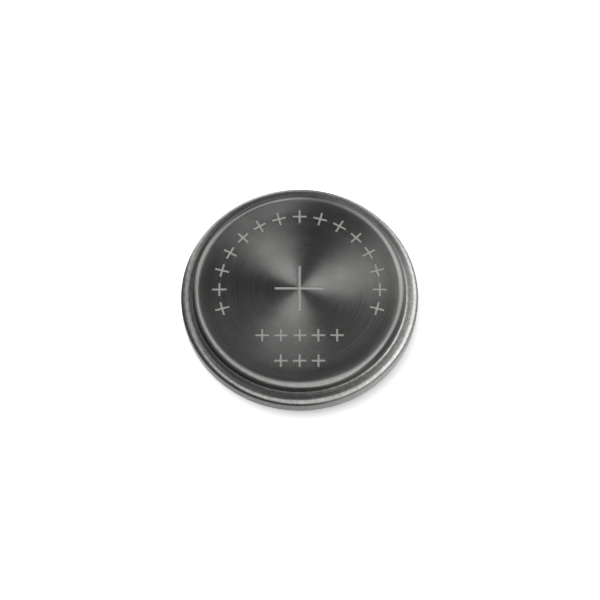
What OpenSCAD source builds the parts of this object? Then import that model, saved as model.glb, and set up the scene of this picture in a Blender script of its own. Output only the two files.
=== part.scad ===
// Rechargeable lithium coin cell of the 24.5 by 5 mm size, positive face up.
// The negative face lies on z = 0 and the cell's axis is the z axis.

/* [Cell] */
// Diameter over the rim of the can
cell_d = 24.5; // [24:0.1:25.5]
// Height from the negative face to the positive face
cell_h = 5; // [4.8:0.05:5.4]

/* [Positive can] */
// Thickness of the can's sheet steel
can_t = 0.25; // [0.2:0.01:0.28]
// Width of the flat ring of the shoulder round the raised positive face
shoulder_flat = 0.53; // [0.4:0.01:0.8]
// Height of the raised positive face over the shoulder
plateau_h = 1.25; // [1:0.05:1.4]
// Outside radius of the edge of the positive face
plateau_edge_r = 0.65; // [0.4:0.05:0.8]
// Inside radius where the raised face meets the shoulder
plateau_foot_r = 0.22; // [0.1:0.02:0.28]
// Outside radius between the shoulder and the side wall
shoulder_edge_r = 0.55; // [0.4:0.05:0.7]
// Outside radius of the crimp
crimp_r = 1.1; // [0.9:0.05:1.25]
// Height of the crimp over the negative face
crimp_z = 1.02; // [0.9:0.02:1.1]
// Length of the straight lip after the crimp's bend
crimp_lip = 0.1; // [0:0.02:0.2]

/* [Negative cap] */
// Thickness of the cap's sheet steel
cap_t = 0.25; // [0.2:0.01:0.3]
// Width of the flat ring of the flange
flange_flat = 0.2; // [0.1:0.02:0.4]
// Outside radius of the edge of the negative face
cap_edge_r = 0.6; // [0.4:0.05:0.8]
// Inside radius where the negative face's wall meets the flange
cap_foot_r = 0.2; // [0.1:0.02:0.24]
// Outside radius between the flange and the skirt
cap_heel_r = 0.55; // [0.4:0.05:0.6]

/* [Sealing gasket] */
// Thickness of the gasket between the cap's skirt and the can's wall
gasket_wall = 0.5; // [0.4:0.02:0.56]
// Thickness of the gasket between the cap's edge and the can's shoulder
gasket_floor = 0.3; // [0.2:0.02:0.4]
// Thickness of the gasket between the cap's flange and the crimp
gasket_flange = 0.28; // [0.2:0.02:0.34]
// Thickness of the gasket's lip inside the cap's skirt
gasket_lip_t = 0.2; // [0.14:0.02:0.26]
// Height of the gasket's lip inside the cap's skirt
gasket_lip_h = 0.5; // [0.3:0.05:0.7]
// Depth of the gasket's visible end above the underside of the crimp
gasket_recess = 0.18; // [0.1:0.02:0.22]

/* [Electrode stack] */
// Number of positive plates, with one more negative plate than this
positive_count = 8; // [5:1:9]
// Thickness of a positive plate with its coatings
positive_t = 0.2; // [0.16:0.01:0.24]
// Thickness of a separator film
separator_t = 0.04; // [0.02:0.01:0.06]
// Thickness of the bare foil at a plate's ear
foil_t = 0.03; // [0.02:0.01:0.06]
// How far a separator reaches past a negative plate
separator_overlap = 0.15; // [0.05:0.05:0.3]
// How far a negative plate reaches past a positive plate
negative_overlap = 0.2; // [0.05:0.05:0.4]
// Thickness of the insulating discs at the stack's ends
insulator_t = 0.06; // [0.04:0.02:0.12]
// Thickness of the film wrapped round the stack
wrap_t = 0.06; // [0.04:0.02:0.1]

/* [Tabs] */
// Width of the tabs and of the plates' ears
tab_w = 3; // [2:0.25:4]
// Thickness of the tabs
tab_t = 0.08; // [0.05:0.01:0.12]
// Inside radius of the tabs' bends
tab_bend_r = 0.06; // [0.04:0.01:0.1]
// How far the tabs reach past the cell's axis
tab_reach = 2; // [1:0.25:3]

/* [Clearances] */
// Gap between the wrapped stack and the round edges of the two floors
stack_gap = 0.09; // [0.05:0.01:0.15]
// Gap between a tab and the wrap
tab_gap = 0.05; // [0.02:0.01:0.1]
// Gap between a tab and the separators' edges
separator_gap = 0.1; // [0.05:0.01:0.2]
// Gap between a tab and the notch that it passes through
notch_gap = 0.1; // [0.05:0.01:0.2]

/* [Hidden] */
$fn = 96;
// A cutter stands this far proud of what it cuts
cut = 1;

rim_r = cell_d / 2;
plateau_r = rim_r - shoulder_edge_r - shoulder_flat - plateau_foot_r;
plateau_floor_r = plateau_r - plateau_edge_r;
shoulder_z = cell_h - plateau_h;
mouth_r = rim_r - crimp_r - crimp_lip;

skirt_r = rim_r - can_t - gasket_wall;
cap_r = skirt_r - cap_heel_r - flange_flat - cap_foot_r;
cap_floor_r = cap_r - cap_edge_r;
skirt_top_z = shoulder_z - can_t - gasket_floor;
flange_z = crimp_z + can_t + gasket_flange;
gasket_end_z = crimp_z + gasket_recess;
gasket_lip_r = skirt_r - cap_t - gasket_lip_t;

// The stack clears the round edges of both floors
wrap_r = min(cap_floor_r, plateau_floor_r) - stack_gap;
tab_outer_x = sqrt(pow(wrap_r - wrap_t - tab_gap, 2) - pow(tab_w / 2, 2));
tab_inner_x = tab_outer_x - tab_t;
separator_r = tab_inner_x - separator_gap;
negative_r = separator_r - separator_overlap;
positive_r = negative_r - negative_overlap;

stack_bottom_z = cap_t + tab_t + insulator_t;
stack_top_z = cell_h - can_t - tab_t - insulator_t;
negative_count = positive_count + 1;
separator_count = 2 * positive_count;
// The negative plates share the height that the rest of the stack leaves
negative_t = (stack_top_z - stack_bottom_z
    - positive_count * positive_t - separator_count * separator_t) / negative_count;
layer_pitch = positive_t + negative_t + 2 * separator_t;

function negative_z(i) = stack_bottom_z + (i - 1) * layer_pitch;
function positive_z(i) = negative_z(i) + negative_t + separator_t;
// Odd separators lie on a negative plate and even ones on a positive plate
function separator_z(i) = i % 2 == 1
    ? negative_z((i + 1) / 2) + negative_t
    : positive_z(i / 2) + positive_t;

// What a round corner of radius r takes off a square corner that points right and up from the origin
module corner_offcut(r) {
    translate([-r, -r])
        difference() {
            square(r + cut);
            circle(r);
        }
}

// The fillet of radius r in an inside corner whose sides run right and up from the origin
module corner_fillet(r) {
    difference() {
        square(r);
        translate([r, r]) circle(r);
    }
}

// Half section of a solid disc of radius r from z0 up to z1, with its rim rounded above and below
module rounded_disc(r, z0, z1, upper_r = 0, lower_r = 0) {
    difference() {
        translate([0, z0]) square([r, z1 - z0]);
        if (upper_r > 0)
            translate([r, z1]) corner_offcut(upper_r);
        if (lower_r > 0)
            translate([r, z0]) mirror([0, 1]) corner_offcut(lower_r);
    }
}

// Half section of a stepped cup filled solid: a small disc that ends at face_z on a large one
// that runs from end_z up to step_z
module stepped_outline(face_r, rim_r, face_z, step_z, end_z, edge_r, heel_r, foot_r, end_r = 0) {
    rounded_disc(face_r, end_z, face_z, upper_r = edge_r);
    rounded_disc(rim_r, end_z, step_z, upper_r = heel_r, lower_r = end_r);
    translate([face_r, step_z]) corner_fillet(foot_r);
}

// The outside of the can, or with inset = can_t the inside of its sheet
module can_outline(inset = 0) {
    stepped_outline(plateau_r - inset, rim_r - inset, cell_h - inset, shoulder_z - inset,
        crimp_z + inset, plateau_edge_r - inset, shoulder_edge_r - inset, plateau_foot_r + inset,
        crimp_r - inset);
}

// Everything inside the can, with the mouth that the crimp leaves open
module can_cavity() {
    can_outline(can_t);
    translate([0, crimp_z - cut]) square([mouth_r, cut + 2 * can_t]);
}

// The outside of the cap, or with inset = cap_t and an open end the inside of its sheet
module cap_outline(inset = 0, open = 0) {
    mirror([0, 1])
        stepped_outline(cap_r - inset, skirt_r - inset, -inset, -flange_z - inset,
            -skirt_top_z - open, cap_edge_r - inset, cap_heel_r - inset, cap_foot_r + inset);
}

// Drawn steel can, stepped at the top and crimped inwards at the bottom
module positive_can() {
    color("dimgray")
        rotate_extrude()
            difference() {
                can_outline();
                can_cavity();
            }
}

// Drawn steel cap with a flange and a skirt that stand in the gasket
module negative_cap() {
    color("silver")
        rotate_extrude()
            difference() {
                cap_outline();
                cap_outline(cap_t, cut);
            }
}

// Moulded gasket: it lies against the can's wall, shoulder and crimp, and wraps the cap's skirt
module sealing_gasket() {
    color("#2b2b2d")
        rotate_extrude() {
            difference() {
                intersection() {
                    can_cavity();
                    translate([cap_r, gasket_end_z])
                        square([rim_r - cap_r, shoulder_z - can_t - gasket_end_z]);
                }
                cap_outline();
                translate([0, skirt_top_z]) square([gasket_lip_r, gasket_floor + cut]);
            }
            translate([gasket_lip_r, skirt_top_z - gasket_lip_h])
                square([gasket_lip_t, gasket_lip_h + gasket_floor / 2]);
        }
}

// Side view of a tab that lies flat at height z and turns upwards to end_z at its outer end
module tab_outline(z, end_z) {
    bend_r = tab_bend_r + tab_t;
    difference() {
        union() {
            translate([-tab_reach, z]) square([tab_outer_x + tab_reach, tab_t]);
            translate([tab_inner_x, z]) square([tab_t, end_z - z]);
            translate([tab_inner_x, z + tab_t]) mirror([1, 0]) corner_fillet(tab_bend_r);
        }
        translate([tab_outer_x, z]) mirror([0, 1]) corner_offcut(bend_r);
    }
}

// Extrudes a tab's side view across its width
module tab_strip() {
    rotate([90, 0, 0])
        linear_extrude(height = tab_w, center = true)
            children();
}

// Nickel strip from the cap's floor up to the ears of the negative plates
module negative_tab() {
    color("lightgray")
        mirror([1, 0, 0])
            tab_strip() tab_outline(cap_t, negative_z(negative_count) + negative_t);
}

// Aluminium strip from under the positive face down to the ears of the positive plates
module positive_tab() {
    color("gainsboro")
        tab_strip()
            mirror([0, 1]) tab_outline(-(cell_h - can_t), -positive_z(1));
}

// Film disc with a notch for the tab that passes it on the +x side
module insulator() {
    difference() {
        cylinder(r = wrap_r, h = insulator_t);
        translate([tab_inner_x - notch_gap, -tab_w / 2 - notch_gap, -cut])
            cube([wrap_r, tab_w + 2 * notch_gap, insulator_t + 2 * cut]);
    }
}

// Film between the stack and the positive tab
module positive_insulator() {
    color("ivory")
        translate([0, 0, stack_top_z]) insulator();
}

// Film between the negative tab and the stack
module negative_insulator() {
    color("ivory")
        translate([0, 0, stack_bottom_z - insulator_t])
            mirror([1, 0, 0]) insulator();
}

// Film wrapped once round the stack, from one insulating disc to the other
module stack_wrap() {
    color("goldenrod")
        translate([0, 0, stack_bottom_z])
            difference() {
                cylinder(r = wrap_r, h = stack_top_z - stack_bottom_z);
                translate([0, 0, -cut])
                    cylinder(r = wrap_r - wrap_t, h = stack_top_z - stack_bottom_z + 2 * cut);
            }
}

// Coated round plate with a bare foil ear that reaches the tab on the +x side
module plate(r, t) {
    cylinder(r = r, h = t);
    translate([0, -tab_w / 2, (t - foil_t) / 2]) cube([tab_inner_x, tab_w, foil_t]);
}

// Foil coated with the positive material on both sides
module positive_plate(i) {
    color("#26272b")
        translate([0, 0, positive_z(i)]) plate(positive_r, positive_t);
}

// Foil coated with graphite on both sides
module negative_plate(i) {
    color("#3a3a3c")
        translate([0, 0, negative_z(i)])
            mirror([1, 0, 0]) plate(negative_r, negative_t);
}

// Porous film between two plates
module separator(i) {
    color("whitesmoke")
        translate([0, 0, separator_z(i)]) cylinder(r = separator_r, h = separator_t);
}

positive_can();
negative_cap();
sealing_gasket();
positive_tab();
negative_tab();
positive_insulator();
negative_insulator();
stack_wrap();
for (i = [1:positive_count])
    positive_plate(i);
for (i = [1:negative_count])
    negative_plate(i);
for (i = [1:separator_count])
    separator(i);
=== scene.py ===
import math
from functools import reduce
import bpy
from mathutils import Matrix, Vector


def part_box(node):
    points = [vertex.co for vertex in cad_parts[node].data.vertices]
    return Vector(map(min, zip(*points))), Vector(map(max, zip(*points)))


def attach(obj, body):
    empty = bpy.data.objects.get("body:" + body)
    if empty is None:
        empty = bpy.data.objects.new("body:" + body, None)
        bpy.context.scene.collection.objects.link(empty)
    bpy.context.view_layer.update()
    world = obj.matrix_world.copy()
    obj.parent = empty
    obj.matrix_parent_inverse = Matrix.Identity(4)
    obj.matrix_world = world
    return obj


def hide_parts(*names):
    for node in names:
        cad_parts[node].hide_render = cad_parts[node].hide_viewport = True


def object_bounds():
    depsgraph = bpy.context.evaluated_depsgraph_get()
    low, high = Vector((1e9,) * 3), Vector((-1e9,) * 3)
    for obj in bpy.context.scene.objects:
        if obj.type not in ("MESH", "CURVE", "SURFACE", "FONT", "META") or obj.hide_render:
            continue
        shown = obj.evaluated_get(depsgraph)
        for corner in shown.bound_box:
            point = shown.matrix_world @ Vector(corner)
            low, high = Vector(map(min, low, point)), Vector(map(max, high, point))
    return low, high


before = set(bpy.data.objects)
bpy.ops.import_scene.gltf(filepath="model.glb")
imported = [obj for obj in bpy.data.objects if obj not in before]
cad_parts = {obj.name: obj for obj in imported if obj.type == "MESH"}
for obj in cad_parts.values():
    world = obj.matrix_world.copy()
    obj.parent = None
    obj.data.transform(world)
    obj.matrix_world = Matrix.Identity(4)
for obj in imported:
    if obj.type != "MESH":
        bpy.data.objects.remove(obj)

from types import SimpleNamespace

import bpy
import numpy as np
from bpy.props import FloatProperty, FloatVectorProperty, IntProperty, PointerProperty
from mathutils import Vector

bl_info = {
    "name": "Rechargeable Coin Cell",
    "version": (1, 0, 0),
    "blender": (4, 5, 0),
    "location": "View3D > Sidebar > Coin Cell",
    "description": "Dresses a round rechargeable lithium coin cell and its studio",
    "category": "Add Mesh",
}

# The frame
CAD_LOW, CAD_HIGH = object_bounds()
CELL_D = CAD_HIGH.x - CAD_LOW.x
CELL_H = CAD_HIGH.z - CAD_LOW.z
BODY = "root"

# Meshes, in metres and degrees
# A support ring stands this far from the edge that it keeps crisp
SUPPORT = 0.00004
# Shading breaks where two faces meet at more than this
SHARP_EDGE = math.radians(32)
# Points nearer to each other than the first are one, and nearer to the axis than the second lie on it
SAME_POINT = 1e-8
ON_AXIS = 1e-9
# A vertex this near a fillet or a turned wall, or this near a flat, belongs to it
ON_CURVE = 0.00002
ON_FLAT = 0.00001
# Stands for the tilt of a vertex that is on no fillet
OFF = -99

# Engraved marks, in metres and degrees
ARC_RADIUS = 0.00822
ARC_TURNS = np.radians(np.linspace(196, -16, 15))
ARC_MARK_LENGTH = 0.00150
# Each row's number of marks, the x of its last mark, and its y
ROWS = ((5, 0.0038, -0.00523), (3, 0.0019, -0.00802))
ROW_MARK_LENGTH = 0.00140
MARK_STROKE = 0.00024
# The cutters stand this far proud of the face, widen by the second there, and narrow towards their floor
CUTTER_RISE = 0.00003
CUTTER_WIDER = 0.00002
FLOOR_SHORTER = 0.00006
FLOOR_NARROWER = 0.00008

# Colours of the plastics, strips, foils and coatings
GASKET_BLACK = (0.045, 0.045, 0.048)
DISC_FILM = (0.85, 0.83, 0.76)
AMBER_FILM = (0.62, 0.38, 0.10)
SEPARATOR_WHITE = (0.88, 0.88, 0.86)
ALUMINIUM = (0.80, 0.81, 0.82)
NICKEL = (0.66, 0.64, 0.60)
COPPER = (0.82, 0.45, 0.30)
OXIDE = (0.036, 0.038, 0.046)
GRAPHITE = (0.085, 0.085, 0.09)

# The studio
FLOOR_RADIUS = 1.5
FLOOR_RINGS = 24
# The floor lies this far under the cell
FLOOR_DROP = 0.00001
# Steps round the floor and the tent
ROOM_SEGMENTS = 96
TENT_RADIUS = 0.9
# The tent's own floor lies this high, over the table, and ends at these distances from the axis
TENT_FLOOR_Z = 0.0001
TENT_FLOOR_RADII = (0.9, 0.3, 0.06, 0.014)


# Properties
def metres_prop(name, description, default):
    """A length that the sidebar shows to a hundredth of a millimetre."""
    return FloatProperty(name=name, description=description, default=default, unit="LENGTH", precision=5)


def angle_prop(name, description, degrees):
    """An angle, given here in degrees."""
    return FloatProperty(name=name, description=description, default=math.radians(degrees), subtype="ANGLE")


def colour_prop(name, description, default):
    """A colour in red, green and blue."""
    return FloatVectorProperty(name=name, description=description, default=default, subtype="COLOR")


class CoinCellSizes(bpy.types.PropertyGroup):
    """Sizes of the sheet metal, the gasket and the engraved marks"""

    diameter: metres_prop("Diameter", "Across the rim of the can", CELL_D)
    height: metres_prop("Height", "From the negative face to the positive face", CELL_H)
    can_sheet: metres_prop("Can sheet", "Thickness of the can's sheet steel", 0.00025)
    shoulder_flat: metres_prop("Shoulder flat", "Width of the flat ring round the raised face", 0.00053)
    plateau_height: metres_prop("Raised face", "Height of the positive face over the shoulder", 0.00125)
    plateau_edge: metres_prop("Face edge radius", "Outside radius of the edge of the positive face", 0.00065)
    plateau_foot: metres_prop("Face foot radius", "Inside radius between the face and the shoulder", 0.00022)
    shoulder_edge: metres_prop("Shoulder radius", "Outside radius between the shoulder and the wall", 0.00055)
    crimp_radius: metres_prop("Crimp radius", "Outside radius of the crimp", 0.0011)
    crimp_height: metres_prop("Crimp height", "Height of the crimp over the negative face", 0.00102)
    crimp_lip: metres_prop("Crimp lip", "Straight lip after the crimp's bend", 0.0001)
    cap_sheet: metres_prop("Cap sheet", "Thickness of the cap's sheet steel", 0.00025)
    flange_flat: metres_prop("Flange flat", "Width of the flat ring of the cap's flange", 0.0002)
    cap_edge: metres_prop("Cap edge radius", "Outside radius of the edge of the negative face", 0.0006)
    cap_foot: metres_prop("Cap foot radius", "Inside radius where the cap's wall meets the flange", 0.0002)
    cap_heel: metres_prop("Cap heel radius", "Outside radius between the flange and the skirt", 0.00055)
    gasket_wall: metres_prop("Gasket wall", "Gasket between the cap's skirt and the can's wall", 0.0005)
    gasket_floor: metres_prop("Gasket floor", "Gasket between the cap's edge and the can's shoulder", 0.0003)
    gasket_flange: metres_prop("Gasket flange", "Gasket between the cap's flange and the crimp", 0.00028)
    gasket_lip: metres_prop("Gasket lip", "Thickness of the gasket's lip inside the cap's skirt", 0.0002)
    gasket_lip_height: metres_prop("Gasket lip height", "Height of the gasket's lip", 0.0005)
    gasket_recess: metres_prop("Gasket recess", "Depth of the gasket's visible end above the crimp", 0.00018)
    mark_depth: metres_prop("Mark depth", "Depth of the engraved marks", 0.00006)
    cross_length: metres_prop("Cross", "Length of the arms of the centre cross", 0.0051)
    cross_stroke: metres_prop("Cross stroke", "Width of the arms of the centre cross", 0.00029)
    segments: IntProperty(
        name="Segments",
        description="Steps round a turned piece",
        default=256,
        min=48,
        max=384,
    )


class CoinCellFinish(bpy.types.PropertyGroup):
    """Colours and polish of the cell's steel"""

    # The bright steel colour also paints highlights along the edges, and the dark turned steel at a fifth of
    # its colour paints shade in the hollows and under the edges
    can_dark: colour_prop("Turned steel", "Dark turned steel of the can's faces", (0.180, 0.179, 0.175))
    can_bright: colour_prop("Burnished steel", "Steel of the can's rolled edges", (0.56, 0.555, 0.54))
    engraved: colour_prop("Engraved steel", "Frosted floor of the engraved marks", (0.42, 0.415, 0.40))
    cap_steel: colour_prop("Cap steel", "Satin steel of the negative cap", (0.50, 0.497, 0.485))
    turning_lean: angle_prop("Turning lean", "How far the turned face's polish leans outwards", 8.0)


class CoinCellStudio(bpy.types.PropertyGroup):
    """Camera and floor"""

    elevation: angle_prop("Elevation", "Camera's height over the table as an angle", 65.6)
    distance: metres_prop("Distance", "Camera's distance from the middle of the cell", 0.200)
    lens: FloatProperty(
        name="Lens",
        description="Focal length on a 36 mm sensor, in millimetres",
        default=115.8,
    )
    floor_level: FloatProperty(
        name="Floor level",
        description="Brightness of the white floor as the camera sees it",
        default=1.85,
    )


def derived(s):
    """Radii and heights that follow from the sizes: sums and differences of them, from the rim inwards and
    from the crimp upwards."""
    d = SimpleNamespace()
    d.rim_r = s.diameter / 2
    d.heel_r = d.rim_r - s.shoulder_edge
    d.face_r = d.heel_r - s.shoulder_flat - s.plateau_foot
    d.face_flat_r = d.face_r - s.plateau_edge
    d.mouth_r = d.rim_r - s.crimp_radius - s.crimp_lip
    d.shoulder_z = s.height - s.plateau_height
    d.heel_z = d.shoulder_z - s.shoulder_edge
    d.crimp_bend = (d.rim_r - s.crimp_radius, s.crimp_height + s.crimp_radius)
    d.skirt_r = d.rim_r - s.can_sheet - s.gasket_wall
    d.cap_r = d.skirt_r - s.cap_heel - s.flange_flat - s.cap_foot
    d.flange_z = s.crimp_height + s.can_sheet + s.gasket_flange
    d.skirt_top_z = d.shoulder_z - s.can_sheet - s.gasket_floor
    return d


# Mesh helpers
def arc(centre_r, centre_z, radius, start, end, steps=14):
    """Half-section points on a circle: the centre plus the radius times the cosine and sine of an angle that
    runs from start to end, in degrees."""
    angle = np.radians(np.linspace(start, end, steps + 1))
    return np.stack([centre_r + radius * np.cos(angle), centre_z + radius * np.sin(angle)], axis=1)


def straight(r0, z0, r1, z1, steps=1, inset=0.0):
    """Half-section points on a straight line, evenly spaced between two support points that lie the inset
    from its ends."""
    start, end = np.array([r0, z0]), np.array([r1, z1])
    share = inset / max(float(np.linalg.norm(end - start)), ON_AXIS)
    return start + np.linspace(share, 1.0 - share, steps + 1)[:, None] * (end - start)


def mesh_from(name, points, faces):
    """Puts whole arrays of points and of faces with as many sides each into a new mesh."""
    mesh = bpy.data.meshes.new(name)
    count, sides = faces.shape
    mesh.vertices.add(len(points))
    mesh.vertices.foreach_set("co", np.ascontiguousarray(points, np.float32).ravel())
    mesh.loops.add(count * sides)
    mesh.loops.foreach_set("vertex_index", np.ascontiguousarray(faces, np.int32).ravel())
    mesh.polygons.add(count)
    mesh.polygons.foreach_set("loop_start", np.arange(0, count * sides, sides, dtype=np.int32))
    mesh.update(calc_edges=True)
    mesh.validate()
    return mesh


def turned_mesh(name, section, segments, closed=False):
    """Revolves a half section about the z axis: the point (r, z) at angle a lies at (r cos a, r sin a, z).
    Points on the axis are merged into a pole, and a closed section joins its last point to its first."""
    section = np.asarray(section, float)
    keep = np.ones(len(section), bool)
    keep[1:] = np.linalg.norm(np.diff(section, axis=0), axis=1) > SAME_POINT
    radius, height = section[keep].T
    angle = 2 * np.pi * np.arange(segments) / segments
    points = np.empty((len(radius), segments, 3))
    points[:, :, 0] = radius[:, None] * np.cos(angle)
    points[:, :, 1] = radius[:, None] * np.sin(angle)
    points[:, :, 2] = height[:, None]

    index = np.arange(len(radius) * segments).reshape(len(radius), segments)
    on_axis = radius < ON_AXIS
    index[on_axis] = index[on_axis][:, :1]
    rows = np.concatenate([index, index[:1]]) if closed else index
    a, b = rows[:-1], rows[1:]
    c, d = np.roll(b, -1, axis=1), np.roll(a, -1, axis=1)
    quads = np.stack([a, b, c, d], axis=-1).reshape(-1, 4)
    faces = np.concatenate([quads[:, [0, 1, 2]], quads[:, [0, 2, 3]]])
    first, second, third = faces.T
    faces = faces[(first != second) & (second != third) & (first != third)]

    used, faces = np.unique(faces, return_inverse=True)
    faces = faces.reshape(-1, 3)
    points = points.reshape(-1, 3)[used]
    triangle = points[faces]
    volume = np.einsum("ij,ij->i", triangle[:, 0], np.cross(triangle[:, 1], triangle[:, 2])).sum()
    if volume < 0:
        faces = faces[:, ::-1]
    return mesh_from(name, points, faces)


def shade_smooth(mesh):
    """Smooth shading apart from the sharp edges."""
    mesh.polygons.foreach_set("use_smooth", np.ones(len(mesh.polygons), bool))
    mesh.set_sharp_from_angle(angle=SHARP_EDGE)


def place(mesh, name):
    """Links a mesh as an object at the origin."""
    shade_smooth(mesh)
    piece = bpy.data.objects.new(name, mesh)
    bpy.context.scene.collection.objects.link(piece)
    return piece


def hand_over(piece, node):
    """Lets a new piece stand for a CAD node, on the cell's one body."""
    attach(piece, BODY)
    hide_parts(node)


def plus_outline(length, stroke):
    """The twelve corners of a plus sign round the origin: three corners of one arm, turned by 0, 1, 2 and 3
    right angles."""
    a, b = length / 2, stroke / 2
    quarter = np.array([[a, -b], [a, b], [b, b]])
    right_angle = np.array([[0.0, 1.0], [-1.0, 0.0]])
    return np.concatenate([quarter @ np.linalg.matrix_power(right_angle, k) for k in range(4)])


def prism(top_outline, bottom_outline, top, bottom):
    """A closed tapered prism between two outlines of as many points, with both ends fanned from their
    middle."""
    count = len(top_outline)
    upper = np.column_stack([top_outline, np.full(count, top)])
    lower = np.column_stack([bottom_outline, np.full(count, bottom)])
    middles = np.array([[*top_outline.mean(axis=0), top], [*bottom_outline.mean(axis=0), bottom]])
    i = np.arange(count)
    j = (i + 1) % count
    faces = np.concatenate([
        np.column_stack([i, i + count, j + count]),
        np.column_stack([i, j + count, j]),
        np.column_stack([i, j, np.full(count, 2 * count)]),
        np.column_stack([j + count, i + count, np.full(count, 2 * count + 1)]),
    ])
    return np.concatenate([upper, lower, middles]), faces


# Values stored on the can's vertices
def rise(value, low, high):
    """Nothing below the low end, one above the high end, and a straight line between."""
    return np.clip((value - low) / (high - low), 0, 1)


def toward(turn, degrees, power):
    """One where the angle points the given way, falling off by a power of the cosine of the angle between."""
    return np.clip(np.cos(turn - math.radians(degrees)), 0, 1) ** power


def around(turn, right, back, left, front, *humps):
    """Four values blended round the axis by the squares of the cosine and sine of the angle, plus humps.
    A hump is a height, the way it points in degrees, and the power that narrows it."""
    across, along = np.cos(turn), np.sin(turn)
    value = np.where(across > 0, right, left) * across**2 + np.where(along > 0, back, front) * along**2
    for height, degrees, power in humps:
        value = value + height * toward(turn, degrees, power)
    return value


def burnish_and_highlight_band(tilt, start, end):
    """One on a rolled edge between two tilts, over 8 degrees after the start and 10 before the end. The band
    is partly burnishing and partly painted highlight.
    """
    return rise(tilt, start, start + 8) * (1 - rise(tilt, end - 10, end))


def can_zones(mesh, s):
    """Where each of the can's vertices lies: its radius, height and angle round the axis, its tilt from the
    vertical in degrees on the face's edge, on the shoulder's edge and in the foot of the step, and whether
    it is on the face, the shoulder's flat, the step's wall or the side."""
    co = np.empty(len(mesh.vertices) * 3, np.float32)
    mesh.vertices.foreach_get("co", co)
    x, y, height = co.reshape(-1, 3).T
    radius = np.hypot(x, y)
    d = derived(s)
    edge_z = s.height - s.plateau_edge
    foot_r, foot_z = d.face_r + s.plateau_foot, d.shoulder_z + s.plateau_foot

    def tilt_on(centre_r, centre_z, size):
        near = np.abs(np.hypot(radius - centre_r, height - centre_z) - size) < ON_CURVE
        tilt = np.degrees(np.arctan2(radius - centre_r, height - centre_z))
        return np.where(near & (tilt > -1) & (tilt < 91), tilt, OFF)

    in_foot = np.abs(np.hypot(radius - foot_r, height - foot_z) - s.plateau_foot) < ON_CURVE
    foot_tilt = np.degrees(np.arctan2(foot_r - radius, foot_z - height))
    on_shoulder = (np.abs(height - d.shoulder_z) < ON_FLAT) & (radius > foot_r)
    on_wall = (np.abs(radius - d.face_r) < ON_CURVE) & (height > d.shoulder_z)
    return SimpleNamespace(
        radius=radius,
        height=height,
        turn=np.arctan2(y, x),
        on_edge=tilt_on(d.face_flat_r, edge_z, s.plateau_edge),
        on_heel=tilt_on(d.heel_r, d.heel_z, s.shoulder_edge),
        on_foot=np.where(in_foot, foot_tilt, OFF),
        face=np.abs(height - s.height) < ON_FLAT,
        flat=on_shoulder & (radius < d.heel_r + ON_FLAT),
        wall=on_wall & (height < edge_z + ON_FLAT),
        side=(np.abs(radius - d.rim_r) < ON_CURVE) & (height < d.heel_z + ON_FLAT),
        sizes=d,
    )


def edge_ends(z):
    """Tilt at which the face's edge stops being bright and the painted shade of the step begins."""
    return around(z.turn, 32, 30, 52, 67, (-19, 324, 8), (-22, 118, 6))


def rolled(z):
    """How far each vertex takes the bright steel colour: full between the start of a rolled edge and its
    steep side.
    This is partly burnishing of the rolled edges and partly painted highlight: the bright lines wander round
    the rim with how the light falls, and painted highlights also lie in the foot of the step, on the side, in
    the face's margin and on the shoulder's flat."""
    # The face's edge: burnishing with painted highlight, its strength and band changing round the rim
    upper = around(z.turn, 0.36, 0.2, 0.62, 0.62, (0.3, 50, 8), (0.22, 140, 6), (-0.2, 102, 8))
    upper = upper * burnish_and_highlight_band(z.on_edge, around(z.turn, -4, 0, 5, 3, (-8, 125, 8)), edge_ends(z))
    # The shoulder's edge: burnishing with painted highlight, its band changing round the rim
    heel_start = around(z.turn, -2, 10, 0, 8)
    heel_end = around(z.turn, 42, 76, 14, 60, (40, 140, 14))
    lower = around(z.turn, 1.0, 0.85, 0.8, 0.8, (0.05, 300, 8)) * burnish_and_highlight_band(z.on_heel, heel_start, heel_end)
    # Painted highlight in the foot of the step, strongest at the right
    inner = (z.on_foot > -1) * around(z.turn, 0.65, 0.15, 0.05, 0.05, (0.3, 322, 8))
    # Painted highlight on the side wall and the shoulder's steep edge at the right front
    flank = np.where(z.side, 1.0, rise(z.on_heel, 62, 72)) * 0.55 * toward(z.turn, 318, 5)
    # Painted highlight on the face's margin next to its edge
    lip = around(z.turn, 0.3, 0.3, 0.05, 0.1, (0.36, 30, 6), (0.3, 137, 6))
    lip = z.face * lip * rise(z.radius, z.sizes.face_flat_r - 0.0002, z.sizes.face_flat_r)
    # Painted highlight on the shoulder's flat: at the right and back, towards 65 degrees, and near its outer
    # edge at the left and right
    outer = around(z.turn, 0.3, 0.0, 0.75, 0.0)
    outer = outer * rise(z.radius, z.sizes.heel_r - 0.0003, z.sizes.heel_r - 0.0002)
    flat = z.flat * (around(z.turn, 0.2, 0.1, 0.0, 0.0, (0.35, 65, 24)) + outer)
    return np.maximum.reduce([upper, lower, inner, flank, lip, flat])


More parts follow.
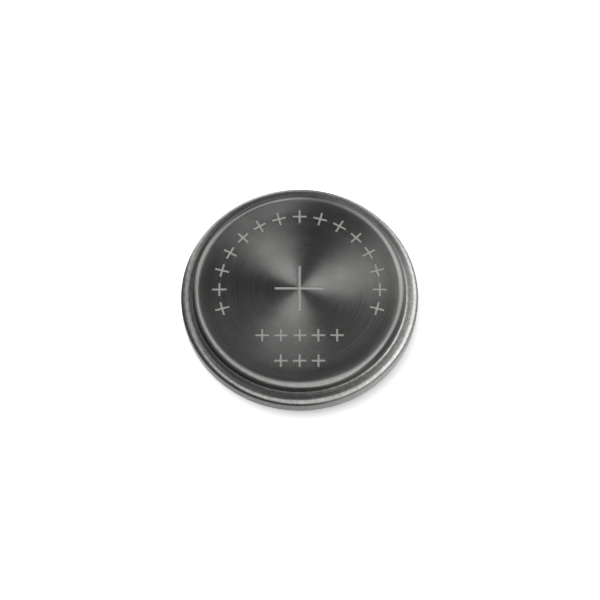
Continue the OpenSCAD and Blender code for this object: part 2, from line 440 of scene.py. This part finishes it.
def recess(z):
    """How far each vertex is darkened by painted shade: deepest in the step under the face's edge, less in
    the middle, towards the back and in the inner corner of the shoulder's flat, and least under the
    shoulder's edge and on the side."""
    # Painted shade in the step under the face's edge and in the step's foot, changing round the rim
    step_start, foot_start = edge_ends(z), around(z.turn, 60, 30, 30, 25, (15, 326, 8))
    step = np.maximum(
        rise(z.on_edge, step_start, step_start + 10),
        rise(z.on_foot, foot_start, foot_start + 20),
    )
    step = np.where(z.wall, 1.0, step)
    step = step * around(z.turn, 0.31, 0.55, 0.62, 0.25, (0.75, 326, 8), (0.4, 118, 6))
    # Painted shade on the shoulder's flat: along its middle towards the front and the back right, over it
    # towards the back left, and in its inner corner at the left
    trough = 0.65 * np.maximum(toward(z.turn, 280, 16), toward(z.turn, 32, 14))
    trough = trough * (1 - rise(np.abs(z.radius - (z.sizes.heel_r - 0.0002)), 0, 0.0002))
    back = 0.5 * toward(z.turn, 125, 8)
    corner = 0.45 * np.maximum(toward(z.turn, 160, 8), toward(z.turn, 212, 8))
    corner = corner * (1 - rise(z.radius, z.sizes.heel_r - 0.0003, z.sizes.heel_r - 0.00015))
    # Painted shade under the shoulder's edge and on the side, most on the side at the front left
    upper_side = z.side * rise(z.height, z.sizes.heel_z - 0.0005, z.sizes.heel_z)
    under = 0.24 * np.maximum(rise(z.on_heel, 58, 70), upper_side)
    under = under * around(z.turn, 1.0, 0.0, 1.0, 1.0) + 0.45 * z.side * toward(z.turn, 225, 16)
    flat = z.flat * np.maximum(trough, back)
    corner = (z.flat | (z.on_foot > -1)) * corner
    return np.clip(np.maximum.reduce([step, under, flat, corner]), 0, 1)


def curved(z):
    """How far each vertex shows its own curve instead of the leaning polish: nothing on the flats, all on
    steep metal."""
    steep = np.maximum(np.maximum(z.on_edge, z.on_heel) / 30, z.on_foot / 10)
    return np.where(z.wall | z.side, 1.0, np.clip(steep, 0, 1))


# Material helpers
class Nodes:
    """Short calls for adding and joining the nodes of one material or world"""

    def __init__(self, name, kind="materials"):
        self.owner = getattr(bpy.data, kind).new(name)
        self.owner.use_nodes = True
        self.tree = self.owner.node_tree
        self.tree.nodes.clear()

    def join(self, value, socket):
        """Links a socket, or sets a number or colour."""
        if isinstance(value, bpy.types.NodeSocket):
            self.tree.links.new(value, socket)
        else:
            socket.default_value = value

    def add(self, kind, inputs=None, **settings):
        node = self.tree.nodes.new(kind)
        for key, value in settings.items():
            setattr(node, key, value)
        for key, value in (inputs or {}).items():
            self.join(value, node.inputs[key])
        return node

    def math(self, operation, a, b=0.0):
        return self.add("ShaderNodeMath", {0: a, 1: b}, operation=operation).outputs[0]

    def sum(self, *values):
        return reduce(lambda a, b: self.math("ADD", a, b), values)

    def product(self, *values):
        return reduce(lambda a, b: self.math("MULTIPLY", a, b), values)

    def highest(self, *values):
        return reduce(lambda a, b: self.math("MAXIMUM", a, b), values)

    def vector(self, operation, a, b=(0.0, 0.0, 0.0)):
        node = self.add("ShaderNodeVectorMath", {0: a, 1: b}, operation=operation)
        return node.outputs["Value" if operation in ("LENGTH", "DOT_PRODUCT") else "Vector"]

    def ramp(self, value, low, high, start=0.0, end=1.0, smooth=True):
        node = self.add(
            "ShaderNodeMapRange",
            {"Value": value, "From Min": low, "From Max": high, "To Min": start, "To Max": end},
            interpolation_type="SMOOTHSTEP" if smooth else "LINEAR",
        )
        return node.outputs["Result"]

    def spread(self, noise, start, end):
        """Stretches a noise, which mostly lies between 0.3 and 0.7, from start to end."""
        return self.ramp(noise, 0.3, 0.7, start, end, smooth=False)

    def mix(self, factor, a, b, kind="RGBA", blend="MIX"):
        node = self.add("ShaderNodeMix", data_type=kind, blend_type=blend)
        suffix = {"RGBA": "Color", "FLOAT": "Float", "VECTOR": "Vector"}[kind]
        inputs = {socket.identifier: socket for socket in node.inputs}
        self.join(factor, inputs["Factor_Float"])
        self.join(a, inputs["A_" + suffix])
        self.join(b, inputs["B_" + suffix])
        return next(socket for socket in node.outputs if socket.identifier == "Result_" + suffix)

    def tint(self, colour, factor):
        """A colour times a number."""
        return self.mix(1.0, colour, factor, blend="MULTIPLY")

    def noise(self, vector, scale, detail=3.0, roughness=0.5):
        """Noise in space, with its scale per metre."""
        inputs = {"Vector": vector, "Scale": scale, "Detail": detail, "Roughness": roughness}
        return self.add("ShaderNodeTexNoise", inputs).outputs["Fac"]

    def lines(self, value, scale, detail=2.0):
        """Noise along one number, with its scale per metre."""
        inputs = {"W": value, "Scale": scale, "Detail": detail}
        return self.add("ShaderNodeTexNoise", inputs, noise_dimensions="1D").outputs["Fac"]

    def bump(self, height, distance, normal=None):
        inputs = {"Height": height, "Distance": distance, "Strength": 1.0}
        if normal is not None:
            inputs["Normal"] = normal
        return self.add("ShaderNodeBump", inputs).outputs["Normal"]

    def toward(self, radial, degrees, power):
        """The function toward as nodes, for a level unit vector away from the axis."""
        way = (math.cos(math.radians(degrees)), math.sin(math.radians(degrees)), 0.0)
        return self.math("POWER", self.highest(self.vector("DOT_PRODUCT", radial, way), 0.0), power)

    def patch(self, way, centre, outer, inner, start, end):
        """A number that goes from start to end between two angles in degrees away from a centre."""
        nearness = self.vector("DOT_PRODUCT", way, unit(*centre))
        return self.ramp(nearness, math.cos(math.radians(outer)), math.cos(math.radians(inner)), start, end)

    def stored(self, name):
        """A number stored on the mesh."""
        return self.add("ShaderNodeAttribute", attribute_name=name).outputs["Fac"]

    def object_place(self):
        return self.add("ShaderNodeTexCoord").outputs["Object"]

    def height_of(self, vector):
        return self.add("ShaderNodeSeparateXYZ", {0: vector}).outputs["Z"]

    def from_axis(self, vector):
        """A place's distance from the axis, and the level unit vector away from the axis there."""
        level = self.vector("MULTIPLY", vector, (1.0, 1.0, 0.0))
        return self.vector("LENGTH", level), self.vector("NORMALIZE", level)

    def surface(self, shader, output="ShaderNodeOutputMaterial"):
        self.tree.links.new(shader.outputs[0], self.add(output).inputs["Surface"])
        return self.owner

    def finish(self, **inputs):
        """A Principled shader, whose inputs are named with underscores."""
        named = {key.replace("_", " "): value for key, value in inputs.items()}
        return self.surface(self.add("ShaderNodeBsdfPrincipled", named))


def rgba(colour, factor=1.0):
    return (*[c * factor for c in colour[:3]], 1.0)


def unit(x, y, z):
    return tuple(Vector((x, y, z)).normalized())


# Steel
def turned_lean(n, radius, radial, finish, d):
    """Height of the surface that the turned polish reflects like. It is a shallow cone with a rounded tip:
    the root of the radius squared plus the tip squared, times the lean. To that come a cube of the radius,
    a rise at the face's margin by the square of the distance into it, and a slight slope on the shoulder."""
    tip = 0.0015
    cube = 330.0
    margin_from, margin_to = d.face_flat_r - 0.00045, d.face_flat_r + 0.0002
    shoulder_from, shoulder_slope = d.face_r + 0.00005, 0.03
    cone = n.math("SQRT", n.sum(n.product(radius, radius), tip * tip))
    margin = n.highest(n.math("SUBTRACT", n.math("MINIMUM", radius, margin_to), margin_from), 0.0)
    leftwards = n.ramp(n.vector("DOT_PRODUCT", radial, (-1.0, 0.0, 0.0)), 0.3, 1.0, 100.0, 45.0)
    shoulder = n.highest(n.math("SUBTRACT", radius, shoulder_from), 0.0)
    return n.sum(
        n.product(cone, math.tan(finish.turning_lean)),
        n.product(n.math("POWER", radius, 3.0), cube),
        n.product(margin, margin, leftwards),
        n.product(shoulder, shoulder_slope),
    )


def margin_painted_light(n, radius, radial, d):
    """Painted highlight and painted shade on the turned steel in the margin of the face: darker in front and
    at the left, lighter at the back, and one everywhere else."""
    inside = n.ramp(radius, d.face_flat_r - 0.0021, d.face_flat_r - 0.0009)
    outside = n.ramp(radius, d.face_flat_r + 0.0003, d.face_flat_r)
    changes = ((298, 1.5, -0.38), (182, 6.0, -0.25), (97, 40.0, 1.0), (125, 10.0, 0.35))
    parts = [n.product(n.toward(radial, degrees, power), change) for degrees, power, change in changes]
    tone = n.sum(1.0, *parts)
    return n.mix(n.product(inside, outside), 1.0, tone, kind="FLOAT")


def can_steel(finish, s):
    """Turned dark steel, bright along its rolled edges with burnishing and painted highlight, frosted in the
    engraved marks, and darkened by painted shade in the step, the shoulder's hollows and under its edges. The
    face's margin has painted highlight and painted shade.
    """
    n = Nodes("can_turned_steel")
    d = derived(s)
    at = n.object_place()
    radius, radial = n.from_axis(at)
    burnish_and_highlight = n.stored("rolled")
    floor_from, floor_to = s.height - 0.25 * s.mark_depth, s.height - 0.6 * s.mark_depth
    on_face = n.math("LESS_THAN", radius, d.face_flat_r - 0.0001)
    marked = n.product(on_face, n.ramp(n.height_of(at), floor_from, floor_to))

    mottle = n.noise(at, 420.0, 4.0, 0.55)
    rings = n.lines(radius, 5200.0, 3.0)
    fine = n.lines(radius, 24000.0)
    dark = n.tint(rgba(finish.can_dark), n.sum(n.spread(mottle, 0.90, 1.09), n.spread(rings, -0.03, 0.03)))
    bright = n.tint(rgba(finish.can_bright), n.spread(mottle, 0.95, 1.04))
    off_face = n.ramp(radius, d.face_flat_r + 0.0001, d.face_flat_r + 0.0007)
    speckle = n.mix(off_face, 1.0, n.spread(n.noise(at, 2600.0, 3.0, 0.6), 0.78, 1.18), kind="FLOAT")
    # Painted highlight and painted shade in the face's margin, by the way round the axis
    tone = n.product(speckle, margin_painted_light(n, radius, radial, d))
    steel = n.tint(n.mix(burnish_and_highlight, dark, bright), tone)
    # Painted shade: the recess value darkens the steel towards a fifth of the turned steel's colour
    steel = n.mix(n.stored("recess"), steel, rgba(finish.can_dark, 0.2))
    smooth = n.mix(burnish_and_highlight, n.spread(rings, 0.19, 0.24), n.spread(mottle, 0.15, 0.20), kind="FLOAT")

    leaning = n.bump(n.product(turned_lean(n, radius, radial, finish, d), -1.0), 1.0)
    plain = n.add("ShaderNodeNewGeometry").outputs["Normal"]
    own_curve = n.highest(n.stored("curved"), marked)
    normal = n.vector("NORMALIZE", n.mix(own_curve, leaning, plain, kind="VECTOR"))
    scratches = n.product(fine, n.math("SUBTRACT", 1.0, burnish_and_highlight))
    return n.finish(
        Base_Color=n.mix(marked, steel, rgba(finish.engraved)),
        Metallic=n.mix(marked, 1.0, 0.45, kind="FLOAT"),
        Roughness=n.mix(marked, smooth, 0.52, kind="FLOAT"),
        Anisotropic=0.85,
        Tangent=radial,
        Normal=n.bump(scratches, 0.0000012, normal),
    )


def cap_steel(finish):
    """Satin drawn steel with faint turning rings and handling marks."""
    n = Nodes("cap_satin_steel")
    at = n.object_place()
    radius, radial = n.from_axis(at)
    mottle = n.noise(at, 380.0, 4.0, 0.6)
    rings = n.lines(radius, 6000.0, 3.0)
    tone = n.sum(n.spread(mottle, 0.92, 1.06), n.spread(rings, -0.05, 0.05))
    return n.finish(
        Base_Color=n.tint(rgba(finish.cap_steel), tone),
        Metallic=1.0,
        Roughness=n.spread(rings, 0.27, 0.36),
        Anisotropic=0.5,
        Tangent=radial,
        Normal=n.bump(rings, 0.000002),
    )


# Plastics and electrodes
def moulded_plastic(name, colour, rough, grain):
    """Moulded plastic with a fine sheen and small changes of tone."""
    n = Nodes(name)
    at = n.object_place()
    tone = n.noise(at, grain)
    return n.finish(
        Base_Color=n.mix(n.ramp(tone, 0.3, 0.7), rgba(colour, 0.86), rgba(colour, 1.12)),
        Roughness=n.spread(tone, rough - 0.06, rough + 0.06),
        Normal=n.bump(n.noise(at, grain * 9, 2.0), 0.000002),
    )


def rolled_strip(name, colour, rough):
    """Rolled metal strip whose fine lines run along the x axis."""
    n = Nodes(name)
    stretched = n.vector("MULTIPLY", n.object_place(), (120.0, 9000.0, 9000.0))
    lines = n.noise(stretched, 1.0)
    return n.finish(
        Base_Color=n.mix(n.ramp(lines, 0.3, 0.7), rgba(colour, 0.88), rgba(colour, 1.06)),
        Metallic=1.0,
        Roughness=n.spread(lines, rough - 0.05, rough + 0.07),
        Normal=n.bump(lines, 0.000001),
    )


def coated_foil(name, colour, foil, coating_r):
    """Matte particle coating, with the bare rolled foil showing on the ear past the coating's radius."""
    n = Nodes(name)
    at = n.object_place()
    radius, _ = n.from_axis(at)
    bare = n.math("GREATER_THAN", radius, coating_r)
    grain = n.noise(at, 26000.0, 3.0, 0.7)
    coating = n.mix(n.ramp(grain, 0.35, 0.65), rgba(colour, 0.7), rgba(colour, 1.4))
    return n.finish(
        Base_Color=n.mix(bare, coating, rgba(foil)),
        Metallic=bare,
        Roughness=n.mix(bare, 0.88, 0.33, kind="FLOAT"),
        Normal=n.bump(grain, 0.000006),
    )


def porous_film(name, colour):
    """White film with a faint cloudy web."""
    n = Nodes(name)
    web = n.noise(n.object_place(), 5200.0, 5.0, 0.65)
    return n.finish(
        Base_Color=n.mix(n.ramp(web, 0.35, 0.65), rgba(colour, 0.92), rgba(colour, 1.03)),
        Roughness=n.ramp(web, 0.35, 0.65, 0.55, 0.68, smooth=False),
        Normal=n.bump(web, 0.000003),
    )


# Half sections
def stepped_section(face_r, rim_r, face_z, step_z, edge_r, foot_r, heel_r, up=1.0):
    """Half section from the axis over a stepped cup's face, edge, wall, foot, step and heel: straight lines
    joined by true arcs. up is 1 for a cup whose face looks up and -1 for one whose face looks down."""
    edge = (face_r - edge_r, face_z - up * edge_r)
    foot = (face_r + foot_r, step_z + up * foot_r)
    heel = (rim_r - heel_r, step_z - up * heel_r)
    return np.concatenate([
        straight(0.0, face_z, edge[0] - 7 * SUPPORT, face_z, 9),
        straight(edge[0] - 5 * SUPPORT, face_z, edge[0] - SUPPORT, face_z, 3),
        arc(*edge, edge_r, up * 90, 0, 16),
        straight(face_r, edge[1], face_r, foot[1], 1, SUPPORT),
        arc(*foot, foot_r, 180, 180 + up * 90, 9),
        straight(foot[0], step_z, heel[0], step_z, 6, SUPPORT),
        arc(*heel, heel_r, up * 90, 0, 16),
    ])


def can_section(s, inset=0.0):
    """Half section of the can's outside from the axis to the crimp's lip, or with the sheet's thickness as
    inset that of its inside: every line moved in by the inset, and every radius changed by it."""
    d = derived(s)
    upper = stepped_section(
        d.face_r - inset,
        d.rim_r - inset,
        s.height - inset,
        d.shoulder_z - inset,
        s.plateau_edge - inset,
        s.plateau_foot + inset,
        s.shoulder_edge - inset,
    )
    wall_r, lip_z = d.rim_r - inset, s.crimp_height + inset
    return np.concatenate([
        upper,
        straight(wall_r, upper[-1, 1], wall_r, d.crimp_bend[1], 2, SUPPORT),
        arc(*d.crimp_bend, s.crimp_radius - inset, 0, -90, 20),
        straight(d.crimp_bend[0], lip_z, d.mouth_r, lip_z),
    ])


def cap_section(s, inset=0.0):
    """Half section of the cap's outside from the axis to the skirt's edge, or with the sheet's thickness as
    inset that of its inside."""
    d = derived(s)
    lower = stepped_section(
        d.cap_r - inset,
        d.skirt_r - inset,
        inset,
        d.flange_z + inset,
        s.cap_edge - inset,
        s.cap_foot + inset,
        s.cap_heel - inset,
        up=-1.0,
    )
    wall_r = d.skirt_r - inset
    return np.concatenate([lower, straight(wall_r, lower[-1, 1], wall_r, d.skirt_top_z, 2)])


def gasket_section(s):
    """Closed half section of the gasket: along the crimp, up the can's wall, in under its shoulder, round
    the lip inside the cap's skirt, and back down outside the skirt and over the cap's flange."""
    d = derived(s)
    end_z = s.crimp_height + s.gasket_recess
    crimp_z = s.crimp_height + s.can_sheet
    wall_r = d.rim_r - s.can_sheet
    roof_z = d.shoulder_z - s.can_sheet
    heel = s.shoulder_edge - s.can_sheet
    lip_r = d.skirt_r - s.cap_sheet - s.gasket_lip
    skirt_in_r = lip_r + s.gasket_lip
    lip_z = d.skirt_top_z - s.gasket_lip_height
    return np.concatenate([
        straight(d.cap_r, end_z, d.mouth_r, end_z),
        straight(d.mouth_r, end_z, d.mouth_r, crimp_z),
        straight(d.mouth_r, crimp_z, d.crimp_bend[0], crimp_z),
        arc(*d.crimp_bend, s.crimp_radius - s.can_sheet, -90, 0, 16),
        straight(wall_r, d.crimp_bend[1], wall_r, roof_z - heel, 2, SUPPORT),
        arc(wall_r - heel, roof_z - heel, heel, 0, 90, 12),
        straight(wall_r - heel, roof_z, lip_r, roof_z),
        straight(lip_r, roof_z, lip_r, lip_z, 2),
        straight(lip_r, lip_z, skirt_in_r, lip_z),
        straight(skirt_in_r, lip_z, skirt_in_r, d.skirt_top_z),
        straight(skirt_in_r, d.skirt_top_z, d.skirt_r, d.skirt_top_z),
        straight(d.skirt_r, d.skirt_top_z, d.skirt_r, d.flange_z + s.cap_heel, 2),
        arc(d.skirt_r - s.cap_heel, d.flange_z + s.cap_heel, s.cap_heel, 0, -90, 14),
        straight(d.skirt_r - s.cap_heel, d.flange_z, d.cap_r + s.cap_foot, d.flange_z),
        arc(d.cap_r + s.cap_foot, d.flange_z - s.cap_foot, s.cap_foot, 90, 180, 8),
    ])


def sheet_mesh(name, section, s, thickness):
    """Closed turned sheet between an outside half section and the inside one, followed back to the axis."""
    return turned_mesh(name, np.concatenate([section(s), section(s, thickness)[::-1]]), s.segments)


# Pieces
def mark_cutters(s):
    """One mesh of tapered prisms: the large centre cross, small plus signs along an arc and in two rows."""
    marks = [(0.0, 0.0, 0.0, s.cross_length, s.cross_stroke)]
    for turn in ARC_TURNS:
        x, y = ARC_RADIUS * math.cos(turn), ARC_RADIUS * math.sin(turn)
        marks.append((x, y, turn, ARC_MARK_LENGTH, MARK_STROKE))
    for count, last_x, y in ROWS:
        marks += [(x, y, 0.0, ROW_MARK_LENGTH, MARK_STROKE) for x in np.linspace(-last_x, last_x, count)]
    points, faces = [], []
    first = 0
    for x, y, turn, length, stroke in marks:
        spin = np.array([[math.cos(turn), math.sin(turn)], [-math.sin(turn), math.cos(turn)]])
        wide = plus_outline(length + CUTTER_WIDER, stroke + CUTTER_WIDER) @ spin + (x, y)
        narrow = plus_outline(length - FLOOR_SHORTER, stroke - FLOOR_NARROWER) @ spin + (x, y)
        mark_points, mark_faces = prism(wide, narrow, s.height + CUTTER_RISE, s.height - s.mark_depth)
        points.append(mark_points)
        faces.append(mark_faces + first)
        first += len(mark_points)
    return mesh_from("mark_cutter", np.concatenate(points), np.concatenate(faces))


def engrave(piece, s):
    """Cuts the marks into the face as tapered grooves."""
    cutter = place(mark_cutters(s), "mark_cutter")
    cut = piece.modifiers.new("engrave", "BOOLEAN")
    cut.operation = "DIFFERENCE"
    cut.solver = "EXACT"
    cut.object = cutter
    bpy.context.view_layer.update()
    shaped = piece.evaluated_get(bpy.context.evaluated_depsgraph_get())
    mesh = bpy.data.meshes.new_from_object(shaped)
    mesh.name = "can_sheet_engraved"
    piece.modifiers.clear()
    piece.data = mesh
    bpy.data.objects.remove(cutter)
    shade_smooth(mesh)
    if len(mesh.polygons) < 1000:
        raise RuntimeError("the engraving removed the can's sheet")


class COINCELL_OT_can(bpy.types.Operator):
    """Draws the positive can as one closed sheet and engraves its marks"""

    bl_idname = "coincell.can"
    bl_label = "Positive Can"

    def execute(self, context):
        s = context.scene.coin_cell_sizes
        piece = place(sheet_mesh("can_sheet", can_section, s, s.can_sheet), "can")
        engrave(piece, s)
        mesh = piece.data
        zones = can_zones(mesh, s)
        # curved sets the shading normals, recess holds painted shade, and rolled holds burnishing and painted
        # highlight
        for name, value in (("curved", curved), ("recess", recess), ("rolled", rolled)):
            attribute = mesh.attributes.new(name, "FLOAT", "POINT")
            attribute.data.foreach_set("value", np.asarray(value(zones), np.float32))
        mesh.materials.clear()
        mesh.materials.append(can_steel(context.scene.coin_cell_finish, s))
        hand_over(piece, "positive_can")
        return {"FINISHED"}


class COINCELL_OT_cap(bpy.types.Operator):
    """Draws the negative cap as one closed sheet"""

    bl_idname = "coincell.cap"
    bl_label = "Negative Cap"

    def execute(self, context):
        s = context.scene.coin_cell_sizes
        piece = place(sheet_mesh("cap_sheet", cap_section, s, s.cap_sheet), "cap")
        piece.data.materials.append(cap_steel(context.scene.coin_cell_finish))
        hand_over(piece, "negative_cap")
        return {"FINISHED"}


class COINCELL_OT_gasket(bpy.types.Operator):
    """Moulds the gasket between the can and the cap's skirt"""

    bl_idname = "coincell.gasket"
    bl_label = "Sealing Gasket"

    def execute(self, context):
        s = context.scene.coin_cell_sizes
        piece = place(turned_mesh("gasket_ring", gasket_section(s), s.segments, closed=True), "gasket")
        piece.data.materials.append(moulded_plastic("gasket_black_plastic", GASKET_BLACK, 0.42, 900.0))
        hand_over(piece, "sealing_gasket")
        return {"FINISHED"}


class COINCELL_OT_inner_finishes(bpy.types.Operator):
    """Gives the sealed pieces of the stack their finishes on the CAD meshes"""

    bl_idname = "coincell.inner_finishes"
    bl_label = "Inner Finishes"

    def execute(self, context):
        # A plate's ear reaches out on one side, so its other side gives the coating's radius
        positive_r = abs(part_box("positive_plate_1")[0].x)
        negative_r = abs(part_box("negative_plate_1")[1].x)
        disc_film = moulded_plastic("insulating_disc_film", DISC_FILM, 0.45, 700.0)
        materials = {
            "positive_tab": rolled_strip("aluminium_rolled_strip", ALUMINIUM, 0.30),
            "negative_tab": rolled_strip("nickel_rolled_strip", NICKEL, 0.28),
            "positive_insulator": disc_film,
            "negative_insulator": disc_film,
            "stack_wrap": moulded_plastic("amber_wrap_film", AMBER_FILM, 0.30, 600.0),
            "positive_plate": coated_foil("positive_oxide_coating", OXIDE, ALUMINIUM, positive_r),
            "negative_plate": coated_foil("negative_graphite_coating", GRAPHITE, COPPER, negative_r),
            "separator": porous_film("separator_porous_film", SEPARATOR_WHITE),
        }
        for name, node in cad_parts.items():
            kind = name.rstrip("0123456789").rstrip("_")
            if kind in materials:
                node.data.materials.clear()
                node.data.materials.append(materials[kind])
        return {"FINISHED"}


# Studio
def white_table(studio):
    """White that the camera sees lighter than it lights the cell, so that the soft shadow stays pale."""
    n = Nodes("white_table")
    path = n.add("ShaderNodeLightPath").outputs
    seen = n.highest(path["Is Camera Ray"], path["Is Transmission Ray"])
    level = n.ramp(seen, 0.0, 1.0, 0.9, studio.floor_level, smooth=False)
    level = n.mix(path["Is Glossy Ray"], level, 1.2, kind="FLOAT")
    white = n.add("ShaderNodeCombineColor", {"Red": level, "Green": level, "Blue": level})
    return n.surface(n.add("ShaderNodeBsdfDiffuse", {"Color": white.outputs[0]}))


def tent_light(mirror):
    """Light of the tent by direction. Factors multiply: a dark panel round the camera's mirror direction, a
    dark band near the table, and lighter and darker patches. Then soft openings in the panel and a glow low
    on the far left are added."""
    n = Nodes("tent_light")
    way = n.vector("NORMALIZE", n.object_place())
    # Each patch is its centre, its outer and inner angle, and its level outside and inside
    panel = (mirror, 36, 29, 1.0, 0.05)
    right = ((0.80, 0.20, 0.56), 42, 16, 0.9, 1.45)
    above = ((-0.208, -0.017, 0.978), 28, 18, 1.0, 0.3)
    near_right = ((0.85, -0.42, 0.33), 40, 15, 1.0, 1.42)
    far = ((-0.05, 0.85, 0.52), 34, 14, 1.0, 0.5)
    upper_right = ((0.50, -0.05, 0.865), 26, 8, 1.0, 0.82)
    band = n.ramp(n.vector("DOT_PRODUCT", way, (0.40, 0.0, 1.0)), 0.02, 0.20, 0.28, 1.0)
    shades = [n.patch(way, *patch) for patch in (panel, right, above, near_right, far, upper_right)]
    # Each opening is its centre, its outer angle and its level
    openings = (
        ((-0.1162, 0.5854, 0.8024), 8.7, 2.35),
        ((0.2076, 0.4751, 0.8551), 10.0, 2.2),
        ((-0.0449, 0.2112, 0.9764), 10.0, 2.1),
        ((-0.33, 0.20, 0.92), 13.0, 0.16),
    )
    lights = [n.patch(way, centre, outer, 4, 0.0, level) for centre, outer, level in openings]
    low = n.ramp(n.height_of(way), 0.02, 0.40, 1.0, 0.0)
    glow = n.product(low, n.patch(way, (-0.54, 0.83, 0.12), 40, 14, 0.0, 0.95))
    strength = n.sum(n.product(band, *shades), *lights, glow)
    n.owner.cycles.emission_sampling = "NONE"
    return n.surface(n.add("ShaderNodeEmission", {"Strength": strength}))


def white_room():
    """Even white world, at full strength for the camera, reflections and clear pieces."""
    n = Nodes("white_room", "worlds")
    path = n.add("ShaderNodeLightPath").outputs
    seen = n.highest(path["Is Camera Ray"], path["Is Glossy Ray"], path["Is Transmission Ray"])
    strength = n.ramp(seen, 0.0, 1.0, 0.6, 1.0, smooth=False)
    light = n.add("ShaderNodeBackground", {"Color": (1.0, 1.0, 1.0, 1.0), "Strength": strength})
    n.owner.cycles.sampling_method = "NONE"
    return n.surface(light, "ShaderNodeOutputWorld")


class COINCELL_OT_studio(bpy.types.Operator):
    """Sets up the camera, the white floor, the soft light and the reflecting tent"""

    bl_idname = "coincell.studio"
    bl_label = "Studio"

    def execute(self, context):
        scene = context.scene
        studio = scene.coin_cell_studio
        self.camera(scene, studio)
        self.floor(studio)
        self.tent(studio)
        self.key_light(scene)
        scene.world = white_room()
        scene.view_settings.view_transform = "Standard"
        return {"FINISHED"}

    def camera(self, scene, studio):
        """Looks along +y and down at the cell, whose middle lies a little beside the photo's."""
        camera = bpy.data.objects.new("camera", bpy.data.cameras.new("camera"))
        scene.collection.objects.link(camera)
        middle = Vector((0.0, 0.0, CELL_H / 2))
        aim = middle + Vector((0.00004, -0.0002, 0.0))
        rise_and_run = Vector((0.0, -math.cos(studio.elevation), math.sin(studio.elevation)))
        camera.location = middle + studio.distance * rise_and_run
        camera.rotation_euler = (aim - camera.location).to_track_quat("-Z", "Y").to_euler()
        camera.data.lens = studio.lens
        camera.data.sensor_width = 36.0
        camera.data.clip_start = 0.01
        scene.camera = camera

    def floor(self, studio):
        """A disc of rings whose radius grows with the square of the ring's number."""
        radius = FLOOR_RADIUS * (np.arange(FLOOR_RINGS + 1) / FLOOR_RINGS) ** 2
        section = np.stack([radius, np.full(len(radius), -FLOOR_DROP)], axis=1)
        mesh = turned_mesh("floor", section, ROOM_SEGMENTS)
        mesh.materials.append(white_table(studio))
        place(mesh, "floor")

    def tent(self, studio):
        """A half sphere round the set, with a floor of its own round the cell, that only reflections see."""
        angle = np.radians(np.linspace(0, 89.5, 31))
        dome = TENT_RADIUS * np.stack([np.sin(angle), np.cos(angle)], axis=1)
        ground = [(radius, TENT_FLOOR_Z) for radius in TENT_FLOOR_RADII]
        mesh = turned_mesh("tent", np.concatenate([dome, ground]), ROOM_SEGMENTS)
        behind = studio.elevation - math.radians(2)
        mesh.materials.append(tent_light((0.0, math.cos(behind), math.sin(behind))))
        tent = place(mesh, "tent")
        for ray in ("camera", "diffuse", "transmission", "shadow", "volume_scatter"):
            setattr(tent, "visible_" + ray, False)

    def key_light(self, scene):
        """A wide soft sun from the upper left, for the floor's shadow, that reflections don't see."""
        key = bpy.data.lights.new("key", "SUN")
        key.energy = 1.25
        key.angle = math.radians(90)
        lamp = bpy.data.objects.new("key", key)
        scene.collection.objects.link(lamp)
        way = Vector(unit(-0.42, 0.18, 0.89))
        lamp.location = 0.4 * way
        lamp.rotation_euler = way.to_track_quat("Z", "Y").to_euler()
        lamp.visible_glossy = False


# Sidebar
class COINCELL_PT_panel(bpy.types.Panel):
    """Lists the cell's pieces and its studio"""

    bl_idname = "COINCELL_PT_panel"
    bl_label = "Coin Cell"
    bl_space_type = "VIEW_3D"
    bl_region_type = "UI"
    bl_category = "Coin Cell"

    def draw(self, context):
        for operator in OPERATORS:
            self.layout.operator(operator.bl_idname)
        for name, group in GROUPS:
            box = self.layout.box()
            for key in group.__annotations__:
                box.prop(getattr(context.scene, name), key)


GROUPS = (
    ("coin_cell_sizes", CoinCellSizes),
    ("coin_cell_finish", CoinCellFinish),
    ("coin_cell_studio", CoinCellStudio),
)
OPERATORS = (
    COINCELL_OT_can,
    COINCELL_OT_cap,
    COINCELL_OT_gasket,
    COINCELL_OT_inner_finishes,
    COINCELL_OT_studio,
)


def register():
    for name, group in GROUPS:
        bpy.utils.register_class(group)
        setattr(bpy.types.Scene, name, PointerProperty(type=group))
    for item in (*OPERATORS, COINCELL_PT_panel):
        bpy.utils.register_class(item)


def unregister():
    for item in (COINCELL_PT_panel, *reversed(OPERATORS)):
        bpy.utils.unregister_class(item)
    for name, group in reversed(GROUPS):
        delattr(bpy.types.Scene, name)
        bpy.utils.unregister_class(group)


def main():
    register()
    bpy.ops.coincell.studio()
    bpy.ops.coincell.can()
    bpy.ops.coincell.cap()
    bpy.ops.coincell.gasket()
    bpy.ops.coincell.inner_finishes()


if __name__ == "__main__":
    main()
